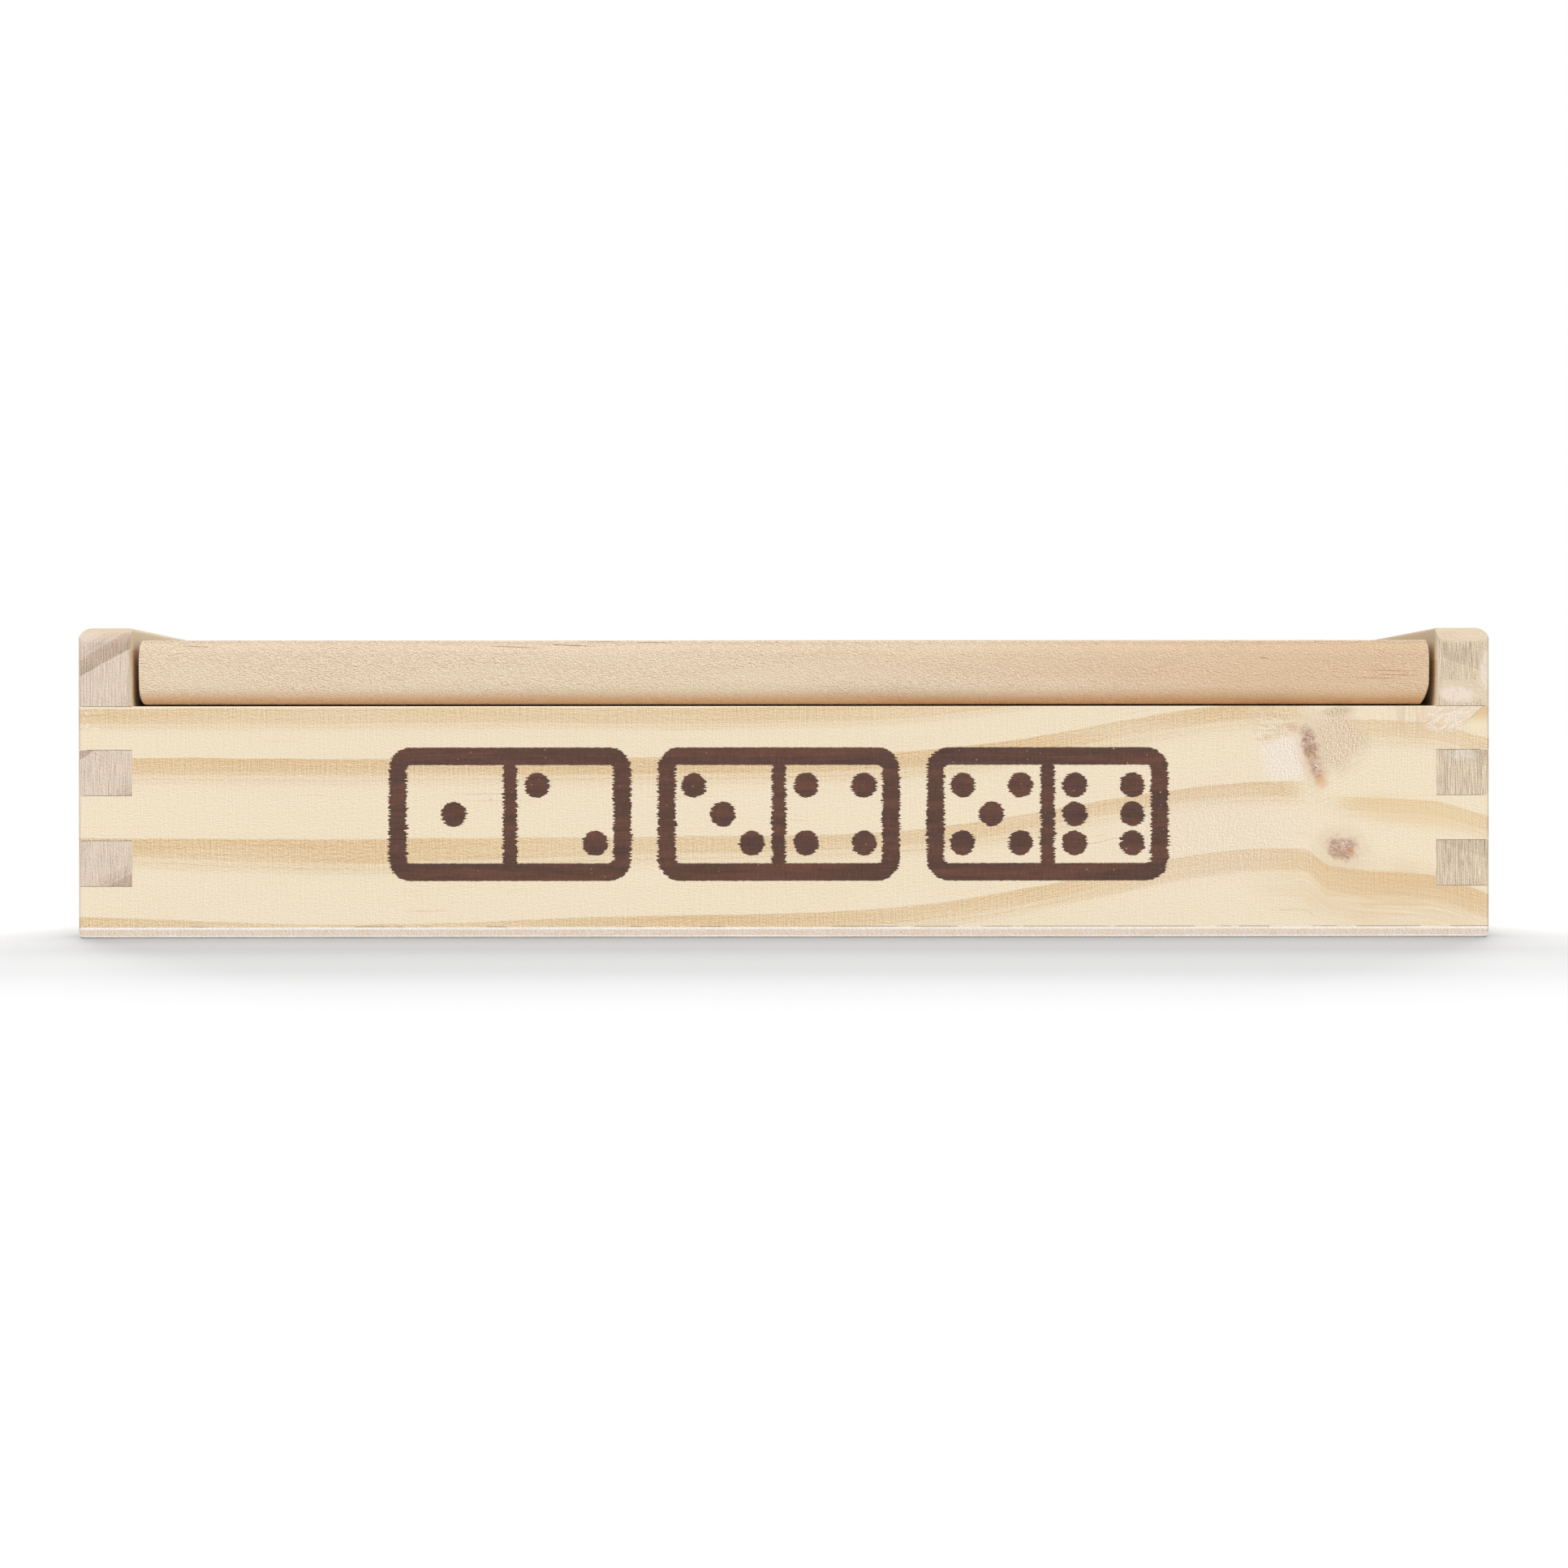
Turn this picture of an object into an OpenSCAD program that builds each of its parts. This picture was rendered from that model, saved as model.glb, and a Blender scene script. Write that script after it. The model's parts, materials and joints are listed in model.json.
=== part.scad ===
// Domino storage box: finger-jointed softwood boards glued on a plywood bottom,
// with a hardwood lid that swings up on two dowels near the back.
// Sizes are in millimetres. The origin is on the underside, at the middle of the
// box: +X runs along its length, -Y is the front and +Z is up.

/* [Inside] */
// Clear length between the end boards, for seven tiles side by side
inner_l = 175.6; // [120:0.1:260]
// Clear width between the front and back boards, for one tile's length
inner_w = 51.6; // [36:0.1:80]
// Height of the front board above the plywood
front_h = 29.75; // [18:0.05:60]

/* [Boards] */
// Thickness of the front, back and end boards
board_t = 7.2; // [5:0.1:10]
// Height of the front board's top finger
top_finger_h = 5.9; // [4:0.1:9]
// Height of each finger below the top one
finger_h = 6.1; // [4:0.1:9]
// Least height of the lowest finger
least_finger_h = 2; // [1:0.1:3]
// Gap above and below each finger
glue_gap = 0.05; // [0.02:0.01:0.1]

/* [Plywood bottom] */
// Thickness of each of the two face plies
face_ply_t = 0.3; // [0.2:0.05:0.8]
// Thickness of the middle ply
core_ply_t = 0.8; // [0.5:0.05:3]

/* [Lid] */
// Thickness of the lid
lid_t = 8.65; // [7:0.05:12]
// Gap between the closed lid and the front board
lid_gap = 0.25; // [0.1:0.05:0.5]
// Gap between the lid and each end board
lid_end_gap = 0.9; // [0.4:0.05:1.5]
// Radius along the lid's front and back edges
lid_edge_r = 2.2; // [0.5:0.1:3.2]
// Radius of the lid's lower edges at its ends
lid_end_low_r = 0.4; // [0.2:0.1:1.5]
// Radius of the lid's upper edges at its ends
lid_end_top_r = 0.2; // [0.1:0.1:1.5]
// Height of the end boards above the closed lid
rim_reveal = 1.65; // [1:0.05:4]

/* [Pivot dowels] */
// Diameter of the two dowels
dowel_d = 4; // [3:0.1:5]
// Length of each dowel inside the lid
dowel_reach = 8.4; // [5:0.1:15]
// Chamfer on each dowel's inner end
dowel_tip = 0.5; // [0.2:0.1:1]
// Radial running clearance of the dowels in the lid
dowel_fit = 0.08; // [0.02:0.01:0.1]
// Depth of each hole in the lid past its dowel's end
hole_past = 0.8; // [0.4:0.1:2]
// Distance from the dowels' axis to the lid's back edge
lid_heel = 5; // [4:0.1:8]
// Least gap between the swinging lid and the back board
swing_gap = 0.3; // [0.2:0.05:1]

/* [Sanding] */
// Radius round the box's four upright corners
corner_r = 0.5; // [0.3:0.1:2]
// Radius over the top of the end faces
end_rim_r = 1.8; // [0.3:0.1:2.5]
// Radius over the top of the front and back faces
long_rim_r = 1.9; // [0.3:0.1:2.5]
// Radius under the end faces
end_foot_r = 1.1; // [0.2:0.1:1.3]
// Radius under the front and back faces
long_foot_r = 0.2; // [0.1:0.05:1.3]
// Radius on the upright inner edges of the end boards, at the front
upright_edge_r = 0.8; // [0.2:0.1:1.8]
// Radius on the rim's upper inner edges
rim_edge_r = 0.5; // [0.2:0.1:1.5]
// Radius on the front board's top edges
sill_r = 0.2; // [0.1:0.05:1]

/* [Hidden] */
$fn = 48;

// Overall size, and the levels of what stacks up
box_l = inner_l + 2 * board_t;
box_w = inner_w + 2 * board_t;
ply_t = core_ply_t + 2 * face_ply_t;
sill_z = ply_t + front_h;
lid_z = sill_z + lid_gap;
box_h = lid_z + lid_t + rim_reveal;

// How far the lid's back corner reaches from the dowels' axis as it swings
heel_reach = lid_edge_r + norm([lid_heel - lid_edge_r, lid_t / 2 - lid_edge_r]);
pivot_y = inner_w / 2 - swing_gap - heel_reach;
pivot_z = lid_z + lid_t / 2;
lid_back_y = pivot_y + lid_heel;
lid_l = inner_l - 2 * lid_end_gap;
lid_w = lid_back_y + box_w / 2;

// Heights of the cuts between fingers, measured down from the sill
last_cut = floor((front_h - top_finger_h - least_finger_h) / finger_h);
cuts = [for (i = [0:last_cut]) top_finger_h + i * finger_h, front_h];

// What a blank stands proud of the sanded faces, and a cutter of what it cuts
spare = 1;

// The spandrel that rounds off a square corner at the origin, whose material
// lies on the -X and -Y sides
module spandrel(r) {
    difference() {
        translate([-r, -r]) square(r + spare);
        translate([-r, -r]) circle(r);
    }
}

// A rectangle centred on X that stands on Y = 0, with rounded corners
module soft_rect(w, h, low_r, top_r) {
    difference() {
        translate([-w / 2, 0]) square([w, h]);
        for (side = [0, 1]) mirror([side, 0]) {
            translate([w / 2, h]) spandrel(top_r);
            translate([w / 2, 0]) mirror([0, 1]) spandrel(low_r);
        }
    }
}

// Extrusions centred on the origin, with the outline's Y upright
module along_x(length) {
    rotate([90, 0, 90]) linear_extrude(length, center = true) children();
}

module along_y(length) {
    rotate([90, 0, 0]) linear_extrude(length, center = true) children();
}

// The glued-up box's sanded outer shape
module sanded_form() {
    intersection() {
        along_x(box_l + 2 * spare) soft_rect(box_w, box_h, long_foot_r, long_rim_r);
        along_y(box_w + 2 * spare) soft_rect(box_l, box_h, end_foot_r, end_rim_r);
        translate([0, -box_w / 2, -spare])
            linear_extrude(box_h + 2 * spare) soft_rect(box_l, box_w, corner_r, corner_r);
    }
}

// A slab across the whole box between two heights
module layer(low, high) {
    translate([-box_l / 2 - spare, -box_w / 2 - spare, low])
        cube([box_l + 2 * spare, box_w + 2 * spare, high - low]);
}

// The layers where the end boards' fingers run out to the front and back
// faces, each widened by a gap on both sides. The last one is the rim.
module end_finger_layers(gap) {
    for (i = [0:2:last_cut])
        layer(sill_z - cuts[i + 1] - gap, sill_z - cuts[i] + gap);
    layer(sill_z - gap, box_h + spare);
}

// A long board of the given height with its fingers at both ends
module long_board(top) {
    difference() {
        translate([-box_l / 2 - spare, -box_w / 2 - spare, ply_t])
            cube([box_l + 2 * spare, board_t + spare, top - ply_t]);
        intersection() {
            end_finger_layers(glue_gap);
            for (side = [0, 1]) mirror([side, 0, 0])
                translate([inner_l / 2, -box_w / 2 - 2 * spare, 0])
                    cube([board_t + 2 * spare, board_t + 3 * spare, box_h + 2 * spare]);
        }
    }
}

// An end board, at the +X end, with its fingers at the front and back
module end_board() {
    difference() {
        intersection() {
            translate([inner_l / 2, -box_w / 2 - spare, ply_t])
                cube([board_t + spare, box_w + 2 * spare, box_h + spare]);
            union() {
                end_finger_layers(0);
                translate([0, -inner_w / 2, 0])
                    cube([box_l, inner_w, box_h + spare]);
            }
            sanded_form();
        }
        // The dowel's hole, right through
        translate([inner_l / 2 - spare, pivot_y, pivot_z]) rotate([0, 90, 0])
            cylinder(h = board_t + 2 * spare, d = dowel_d);
        // The inner edges: upright at the front, and level from there to the back board
        translate([inner_l / 2, -box_w / 2, sill_z]) rotate([0, 0, 180])
            linear_extrude(box_h) spandrel(upright_edge_r);
        translate([inner_l / 2, -(board_t + spare) / 2, box_h]) mirror([1, 0, 0])
            along_y(box_w - board_t + spare) spandrel(rim_edge_r);
    }
}

// One dowel, at the +X end, from the outer face into the lid
module pivot_dowel() {
    reach_x = inner_l / 2 - lid_end_gap - dowel_reach;
    translate([reach_x, pivot_y, pivot_z]) rotate([0, 90, 0]) {
        cylinder(h = dowel_tip, d1 = dowel_d - 2 * dowel_tip, d2 = dowel_d);
        translate([0, 0, dowel_tip])
            cylinder(h = box_l / 2 - reach_x - dowel_tip, d = dowel_d);
    }
}

module front_board() {
    color("#f0dfc4") difference() {
        intersection() {
            long_board(sill_z);
            sanded_form();
        }
        // The sill's two edges, between the end boards
        for (y = [0, board_t]) translate([0, y - box_w / 2, sill_z])
            along_x(inner_l) mirror([y > 0 ? 0 : 1, 0]) spandrel(sill_r);
    }
}

module back_board() {
    color("#ecd8b8") difference() {
        mirror([0, 1, 0]) intersection() {
            long_board(box_h + spare);
            sanded_form();
        }
        translate([0, inner_w / 2, box_h])
            along_x(inner_l) mirror([1, 0]) spandrel(rim_edge_r);
    }
}

module right_end_board() {
    color("#d6c6b0") end_board();
}

module left_end_board() {
    color("#d6c6b0") mirror([1, 0, 0]) end_board();
}

module bottom_face_ply() {
    color("#ecdfcb") intersection() {
        layer(0, face_ply_t);
        sanded_form();
    }
}

module bottom_core_ply() {
    color("#dcc6b0") intersection() {
        layer(face_ply_t, face_ply_t + core_ply_t);
        sanded_form();
    }
}

module bottom_inner_ply() {
    color("#ecdfcb") intersection() {
        layer(face_ply_t + core_ply_t, ply_t);
        sanded_form();
    }
}

module lid() {
    hole_depth = dowel_reach + hole_past;
    color("#e2caa8") difference() {
        intersection() {
            translate([0, lid_back_y - lid_w / 2, lid_z])
                along_x(lid_l) soft_rect(lid_w, lid_t, lid_edge_r, lid_edge_r);
            translate([0, 0, lid_z])
                along_y(2 * box_w) soft_rect(lid_l, lid_t, lid_end_low_r, lid_end_top_r);
        }
        for (side = [0, 1]) mirror([side, 0, 0])
            translate([lid_l / 2 - hole_depth, pivot_y, pivot_z]) rotate([0, 90, 0])
                cylinder(h = hole_depth + spare, d = dowel_d + 2 * dowel_fit);
    }
}

module right_pivot_dowel() {
    color("#e6d2b2") pivot_dowel();
}

module left_pivot_dowel() {
    color("#e6d2b2") mirror([1, 0, 0]) pivot_dowel();
}

front_board();
back_board();
left_end_board();
right_end_board();
bottom_face_ply();
bottom_core_ply();
bottom_inner_ply();
lid();
left_pivot_dowel();
right_pivot_dowel();
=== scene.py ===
import json
import math

import bpy
import numpy as np
from bpy.props import FloatProperty, FloatVectorProperty, PointerProperty
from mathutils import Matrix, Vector


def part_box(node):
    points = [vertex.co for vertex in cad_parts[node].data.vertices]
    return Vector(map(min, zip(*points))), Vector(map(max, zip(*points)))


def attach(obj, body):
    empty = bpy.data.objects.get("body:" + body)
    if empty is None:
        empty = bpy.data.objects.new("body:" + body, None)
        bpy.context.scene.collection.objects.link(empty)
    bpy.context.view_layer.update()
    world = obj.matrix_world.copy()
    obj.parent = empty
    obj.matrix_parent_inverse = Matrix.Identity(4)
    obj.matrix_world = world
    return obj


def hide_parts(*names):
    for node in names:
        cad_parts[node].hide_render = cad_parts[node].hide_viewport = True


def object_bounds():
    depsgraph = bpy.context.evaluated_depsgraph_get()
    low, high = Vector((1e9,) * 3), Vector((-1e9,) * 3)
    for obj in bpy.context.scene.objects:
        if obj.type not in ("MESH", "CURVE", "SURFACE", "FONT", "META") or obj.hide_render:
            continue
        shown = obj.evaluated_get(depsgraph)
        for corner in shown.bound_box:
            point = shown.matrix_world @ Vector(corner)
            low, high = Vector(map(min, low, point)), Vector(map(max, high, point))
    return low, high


bl_info = {
    "name": "Domino storage box",
    "version": (1, 0, 0),
    "blender": (4, 5, 0),
    "location": "3D View > Sidebar > Domino box",
    "description": "The woods, the printed front and the studio of a finger-jointed domino box",
    "category": "Object",
}

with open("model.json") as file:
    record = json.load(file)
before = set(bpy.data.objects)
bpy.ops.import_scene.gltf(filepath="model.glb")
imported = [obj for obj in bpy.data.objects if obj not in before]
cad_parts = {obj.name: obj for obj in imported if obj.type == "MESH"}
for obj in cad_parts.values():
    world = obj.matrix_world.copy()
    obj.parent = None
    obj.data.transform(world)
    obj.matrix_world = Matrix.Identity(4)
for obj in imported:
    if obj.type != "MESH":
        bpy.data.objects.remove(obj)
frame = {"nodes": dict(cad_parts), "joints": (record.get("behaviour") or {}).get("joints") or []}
NODES = frame["nodes"]
CAD_LOW, CAD_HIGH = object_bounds()
LID_LOW, LID_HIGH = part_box("lid")
FRONT_LOW, FRONT_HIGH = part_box("front_board")
PIVOT = frame["joints"][0]["pos_m"]
MM = 0.001


def srgb(red, green, blue):
    """A colour in linear light from its 0 to 255 display values."""
    display = np.array([red, green, blue]) / 255
    linear = np.where(display < 0.04045, display / 12.92, ((display + 0.055) / 1.055) ** 2.4)
    return tuple(float(value) for value in linear)


def colour(name, description, default):
    """A colour that a user can change."""
    return FloatVectorProperty(
        name=name, description=description, subtype="COLOR", size=3, min=0, max=1, default=default
    )


def distance(name, description, default):
    """A length that a user can change, in metres."""
    return FloatProperty(
        name=name, description=description, subtype="DISTANCE", unit="LENGTH", min=0, default=default
    )


# --- What a user would change ---


class BoxColours(bpy.types.PropertyGroup):
    """The colours of the woods, the print and the floor."""

    pine_pale: colour("Pale pine", "Earlywood of the front and back boards", srgb(236, 220, 191))
    pine_band: colour("Pine band", "Latewood of the front and back boards", srgb(218, 187, 140))
    pine_amber: colour("Pine amber", "Resin-rich wood round the knots", srgb(221, 190, 146))
    pine_torn: colour("Torn pine", "Fuzzy wood where the planer tore the grain", srgb(238, 225, 210))
    end_pale: colour("Pale end grain", "Earlywood of sawn end grain", srgb(223, 205, 187))
    end_band: colour("Dark end grain", "Latewood of sawn end grain", srgb(190, 167, 148))
    tan_pale: colour("Tan end grain", "Earlywood of the right end's grain", srgb(222, 203, 178))
    tan_band: colour("Dark tan end grain", "Latewood of the right end's grain", srgb(188, 167, 142))
    knot: colour("Knot", "Heart of the knots", srgb(138, 108, 100))
    ink: colour("Ink", "Ink of the printed front", srgb(83, 56, 45))
    ink_red: colour("Thin ink", "Ink where the wood shines through", srgb(104, 66, 51))
    lid_left: colour("Lid, left", "Lid's wood at its left end", srgb(226, 206, 180))
    lid_right: colour("Lid, right", "Lid's wood at its right end", srgb(216, 188, 155))
    lid_fleck: colour("Lid fleck", "Short flecks in the lid's wood", srgb(176, 138, 102))
    lid_streak: colour("Lid streak", "Long dark streaks in the lid's wood", srgb(150, 104, 84))
    ply_face: colour("Face ply", "Outer plies of the bottom", srgb(244, 236, 226))
    ply_core: colour("Core ply", "Middle ply of the bottom", srgb(226, 211, 196))
    dowel: colour("Dowel", "End grain of the pivot dowels", srgb(222, 198, 164))


class BoxSizes(bpy.types.PropertyGroup):
    """The sizes of the grain, of the print and of the view."""

    ring_pitch: distance("Ring pitch", "From one growth ring to the next on the front", 10.5 * MM)
    saw_pitch: distance("Saw marks", "Spacing of the saw marks on end grain", 0.31 * MM)
    tile_width: distance("Printed tile width", "Width of one printed tile", 32.6 * MM)
    tile_height: distance("Printed tile height", "Height of one printed tile", 18.0 * MM)
    tile_pitch: distance("Printed tile pitch", "From one printed tile to the next", 36.2 * MM)
    tile_corner: distance("Printed corner", "Corner radius of a printed tile", 3.0 * MM)
    tile_line: distance("Printed line", "Width of a printed tile's outline", 2.4 * MM)
    pip_radius: distance("Printed pip", "Radius of a printed pip", 1.7 * MM)
    pip_pitch: distance("Pip pitch", "From one printed pip to the next", 3.9 * MM)
    camera_gap: distance("Camera distance", "From the front face to the camera", 560 * MM)
    camera_height: distance("Camera height", "Height of the camera above the floor", 24 * MM)
    view_width: distance("View width", "Width of the view at the front face", 211.15 * MM)


def colours():
    return bpy.context.scene.domino_colours


def sizes():
    return bpy.context.scene.domino_sizes


def millimetres(name):
    """One of the sizes above in millimetres, as the woods' places are."""
    return getattr(sizes(), name) / MM


# --- Materials ---


# How much more or less the red, green and blue of a wood change than its brightness does
DEEPEN = (0.85, 0.97, 1.18)


class Nodes:
    """A material's or world's node tree, built by feeding sockets and values into new nodes."""

    def __init__(self, holder):
        holder.use_nodes = True
        self.tree = holder.node_tree
        self.tree.nodes.clear()

    def feed(self, socket, value):
        if isinstance(value, bpy.types.NodeSocket):
            self.tree.links.new(value, socket)
        elif socket.type == "RGBA":
            socket.default_value = (*value[:3], 1)
        else:
            socket.default_value = value

    def node(self, kind, inputs=(), **settings):
        """A new node with its inputs fed, in their order or by name or number."""
        made = self.tree.nodes.new(kind)
        for key, value in settings.items():
            setattr(made, key, value)
        for key, value in inputs.items() if isinstance(inputs, dict) else enumerate(inputs):
            self.feed(made.inputs[key], value)
        return made

    def math(self, operation, *values, clamp=False):
        return self.node("ShaderNodeMath", values, operation=operation, use_clamp=clamp).outputs[0]


class Wood(Nodes):
    """A wood's node tree, with places in millimetres in the board's own directions: along
    the grain, across the board's thickness and up. A noise's sizes are those of its
    features in the same directions."""

    def __init__(self, name, grain="X"):
        self.material = bpy.data.materials.new(name)
        super().__init__(self.material)
        source = self.node("ShaderNodeTexCoord")
        swap = grain == "Y"
        x, y, z = self.split(self.vector("SCALE", {0: source.outputs["Object"], "Scale": 1 / MM}))
        self.along, self.across, self.up = (y, x, z) if swap else (x, y, z)
        self.place = self.join(self.along, self.across, self.up)
        facing = self.split(source.outputs["Normal"])
        self.end_facing = self.ease(self.math("ABSOLUTE", facing[1 if swap else 0]), 0.5, 0.9)

    def vector(self, operation, inputs):
        made = self.node("ShaderNodeVectorMath", inputs, operation=operation)
        return made.outputs["Value" if operation in ("LENGTH", "DISTANCE", "DOT_PRODUCT") else "Vector"]

    def split(self, vector):
        return tuple(self.node("ShaderNodeSeparateXYZ", (vector,)).outputs)

    def join(self, x, y, z):
        return self.node("ShaderNodeCombineXYZ", (x, y, z)).outputs[0]

    def total(self, *values):
        result = values[0]
        for value in values[1:]:
            result = self.math("ADD", result, value)
        return result

    def product(self, *values):
        result = values[0]
        for value in values[1:]:
            result = self.math("MULTIPLY", result, value)
        return result

    def minus(self, value, other):
        return self.math("SUBTRACT", value, other)

    def ease(self, value, low, high):
        """0 at low and 1 at high, with a smooth step between them."""
        ends = (low, high, 0, 1) if low < high else (high, low, 1, 0)
        made = self.node("ShaderNodeMapRange", (value, *ends), interpolation_type="SMOOTHSTEP")
        return made.outputs[0]

    def hill(self, value, centre, width):
        """The bell curve exp(-((value - centre) / width) ** 2)."""
        offset = self.math("DIVIDE", self.math("SUBTRACT", value, centre), width)
        return self.math("EXPONENT", self.product(offset, offset, -1.0))

    def mapped(self, place, location, scale):
        """A place times the scale, moved to the location."""
        inputs = {"Vector": place, "Location": location, "Scale": scale}
        return self.node("ShaderNodeMapping", inputs).outputs[0]

    def noise(self, features, seed=0.0, detail=2.0, place=None, moved=(0, 0, 0)):
        """Smooth noise from 0 to 1 whose features have the given sizes in millimetres."""
        shift = (seed * 7.3, seed * 3.1, seed * 5.7)
        location = tuple(s + m / f for s, m, f in zip(shift, moved, features))
        where = self.mapped(self.place if place is None else place, location, [1 / f for f in features])
        made = self.node("ShaderNodeTexNoise", {"Vector": where, "Scale": 1.0, "Detail": detail})
        return made.outputs["Fac"]

    def sway(self, features, amount, seed=0.0, detail=2.0, place=None):
        """Noise from about -amount to amount."""
        centred = self.math("SUBTRACT", self.noise(features, seed, detail, place), 0.5)
        return self.product(centred, 2.0 * amount)

    def relief(self, features, shift, seed=0.0, place=None):
        """Fine noise of about -1 to 1 without broad patches: noise less the same noise a small
        shift away, as on a rough surface that is lit from that side."""
        first = self.noise(features, seed, 0, place)
        second = self.noise(features, seed, 0, place, shift)
        return self.product(self.math("SUBTRACT", first, second), 3.0)

    def specks(self, size, share, radius, seed=0.0):
        """1 in small round specks, one to a cell of the given size, in the given share of cells."""
        where = self.mapped(self.place, (seed,) * 3, (1 / size,) * 3)
        made = self.node("ShaderNodeTexVoronoi", {"Vector": where, "Scale": 1.0})
        parts = self.node("ShaderNodeSeparateColor", (made.outputs["Color"],))
        chosen = self.math("LESS_THAN", parts.outputs[0], share)
        speck = self.ease(made.outputs["Distance"], radius / size, 0.4 * radius / size)
        return self.product(speck, chosen)

    def spot(self, centre, radii, turn=0.0, ragged=0.0, feature=1.0, seed=0.0):
        """Distance from the centre of an ellipsoid, 1 at its surface, turned in the board's
        face by an angle in degrees and made ragged by noise."""
        cosine, sine = math.cos(math.radians(turn)), math.sin(math.radians(turn))
        parts = []
        for axis, radius in zip(((cosine, 0, sine), (0, 1, 0), (-sine, 0, cosine)), radii):
            steps = tuple(value / radius for value in axis)
            start = sum(step * value for step, value in zip(steps, centre))
            parts.append(self.minus(self.vector("DOT_PRODUCT", (self.place, steps)), start))
        reach = self.vector("LENGTH", (self.join(*parts),))
        if ragged:
            reach = self.math("ADD", reach, self.sway((feature,) * 3, ragged, seed))
        return reach

    def patch(self, centre, radii, turn, ragged, feature, seed, none, full):
        """An eased spot: 0 at the distance none and 1 at the distance full, in its radii."""
        return self.ease(self.spot(centre, radii, turn, ragged, feature, seed), none, full)

    def mix(self, amount, first, second, blend="MIX"):
        inputs = {0: amount, 6: first, 7: second}
        return self.node("ShaderNodeMix", inputs, data_type="RGBA", blend_type=blend).outputs[2]

    def blend(self, amount, first, second):
        """The value between two numbers, from the first at 0 to the second at 1."""
        inputs = {0: amount, 2: first, 3: second}
        return self.node("ShaderNodeMix", inputs, data_type="FLOAT").outputs[0]

    def tone(self, tint, brightness):
        """The tint times a brightness near 1, with its colour growing deeper as it darkens."""
        shade = self.node("ShaderNodeCombineColor")
        for socket, depth in zip(shade.inputs, DEEPEN):
            self.feed(socket, self.math("MULTIPLY_ADD", brightness, depth, 1.0 - depth))
        return self.mix(1.0, tint, shade.outputs[0], "MULTIPLY")

    def stain(self, tint, stain, *amounts):
        """The tint with another colour laid over it, by the product of the amounts."""
        return self.mix(self.product(*amounts), tint, stain)

    def shade(self, tint, *amounts):
        """The tint made brighter, or darker, by the product of the amounts."""
        return self.tone(tint, self.math("ADD", 1.0, self.product(*amounts)))

    def ramp(self, value, *stops):
        """A level from a ramp through (position, level) stops."""
        made = self.node("ShaderNodeValToRGB")
        band = made.color_ramp
        while len(band.elements) < len(stops):
            band.elements.new(0.5)
        for element, (position, level) in zip(band.elements, stops):
            element.position = position
            element.color = (1, 1, 1, level)
        self.feed(made.inputs[0], value)
        return made.outputs["Alpha"]

    def finish(self, tint, height, roughness, depth=0.05, sheen=0.3):
        """Ends the tree: tint and roughness vary, and height is in units of depth in millimetres."""
        relief = {"Height": height, "Strength": 1.0, "Distance": depth * MM}
        bump = self.node("ShaderNodeBump", relief).outputs[0]
        look = {"Base Color": tint, "Roughness": roughness, "Normal": bump, "Specular IOR Level": sheen}
        shader = self.node("ShaderNodeBsdfPrincipled", look)
        self.node("ShaderNodeOutputMaterial", {"Surface": shader.outputs[0]})
        return self.material


def growth_rings(wood, level, pitch, top, seed=3.0):
    """How much latewood there is, from 0 to 1, where level is the height that a ring keeps
    along the board. Each ring ends sharply at its top, fades below it and has a hairline a
    quarter of the pitch down."""
    phase = wood.math("FRACT", wood.math("DIVIDE", wood.minus(level, top), pitch))
    profile = wood.ramp(
        phase, (0.0, 1.0), (0.012, 0.0), (0.5, 0.0), (0.64, 0.07), (0.675, 0.3), (0.722, 0.34),
        (0.735, 0.75), (0.75, 0.36), (0.785, 0.4), (0.81, 0.88), (0.9, 0.94), (1.0, 1.0),
    )
    return wood.product(profile, wood.total(0.85, wood.sway((60, 12, 5), 0.55, seed)))


def saw_marks(wood, seed):
    """Upright saw marks of about -1 to 1: a wave across the board whose phase wanders and whose
    strength comes and goes, with thin scratches between."""
    pitch = millimetres("saw_pitch")
    place = wood.total(wood.across, wood.sway((4, 0.8, 4), 0.5, seed, 1))
    wave = wood.math("SINE", wood.product(place, 2 * math.pi / pitch))
    strength = wood.ease(wood.noise((4, 0.5, 2.2), seed + 1, 1), 0.25, 0.7)
    scratches = wood.relief((3, 0.13, 3.5), (0, 0.09, 0), seed + 2)
    return wood.total(wood.product(wave, strength, 0.7), scratches)


def end_grain(wood, level, pitch, top, seed, pale, band, sawn=1.0, contrast=1.0):
    """Tint and height of sawn end grain: rings, saw marks as deep as sawn says, and pores."""
    rings = wood.product(growth_rings(wood, level, pitch, top, seed), contrast)
    saw = wood.product(saw_marks(wood, seed), sawn)
    fine = wood.relief((0.3, 0.17, 0.2), (0, 0.05, 0.1), seed + 1)
    blotch = wood.sway((6, 2.2, 2.6), 0.22, seed + 2)
    tint = wood.mix(wood.math("ADD", rings, blotch, clamp=True), pale, band)
    brightness = wood.total(
        1.0,
        wood.product(saw, wood.total(0.16, wood.product(rings, 0.12))),
        wood.product(fine, wood.total(0.14, wood.product(rings, 0.06))),
    )
    tint = wood.tone(tint, brightness)
    tint = wood.stain(tint, colours().knot, wood.specks(2.2, 0.4, 0.1, seed), 0.45)
    return tint, wood.total(wood.product(saw, 0.35), wood.product(fine, 0.15))


# Level in millimetres at which a long board's lowest ring ends
PINE_RING_TOP = 3.1


def sawn_ends(wood, tint, height, level, seed):
    """A long board's tint and height, with end grain where its surface faces along it."""
    pale, band = colours().end_pale, colours().end_band
    end_tint, end_height = end_grain(
        wood, level, millimetres("ring_pitch"), PINE_RING_TOP, seed, pale, band
    )
    tint = wood.mix(wood.end_facing, tint, end_tint)
    return tint, wood.blend(wood.end_facing, height, end_height)


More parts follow.
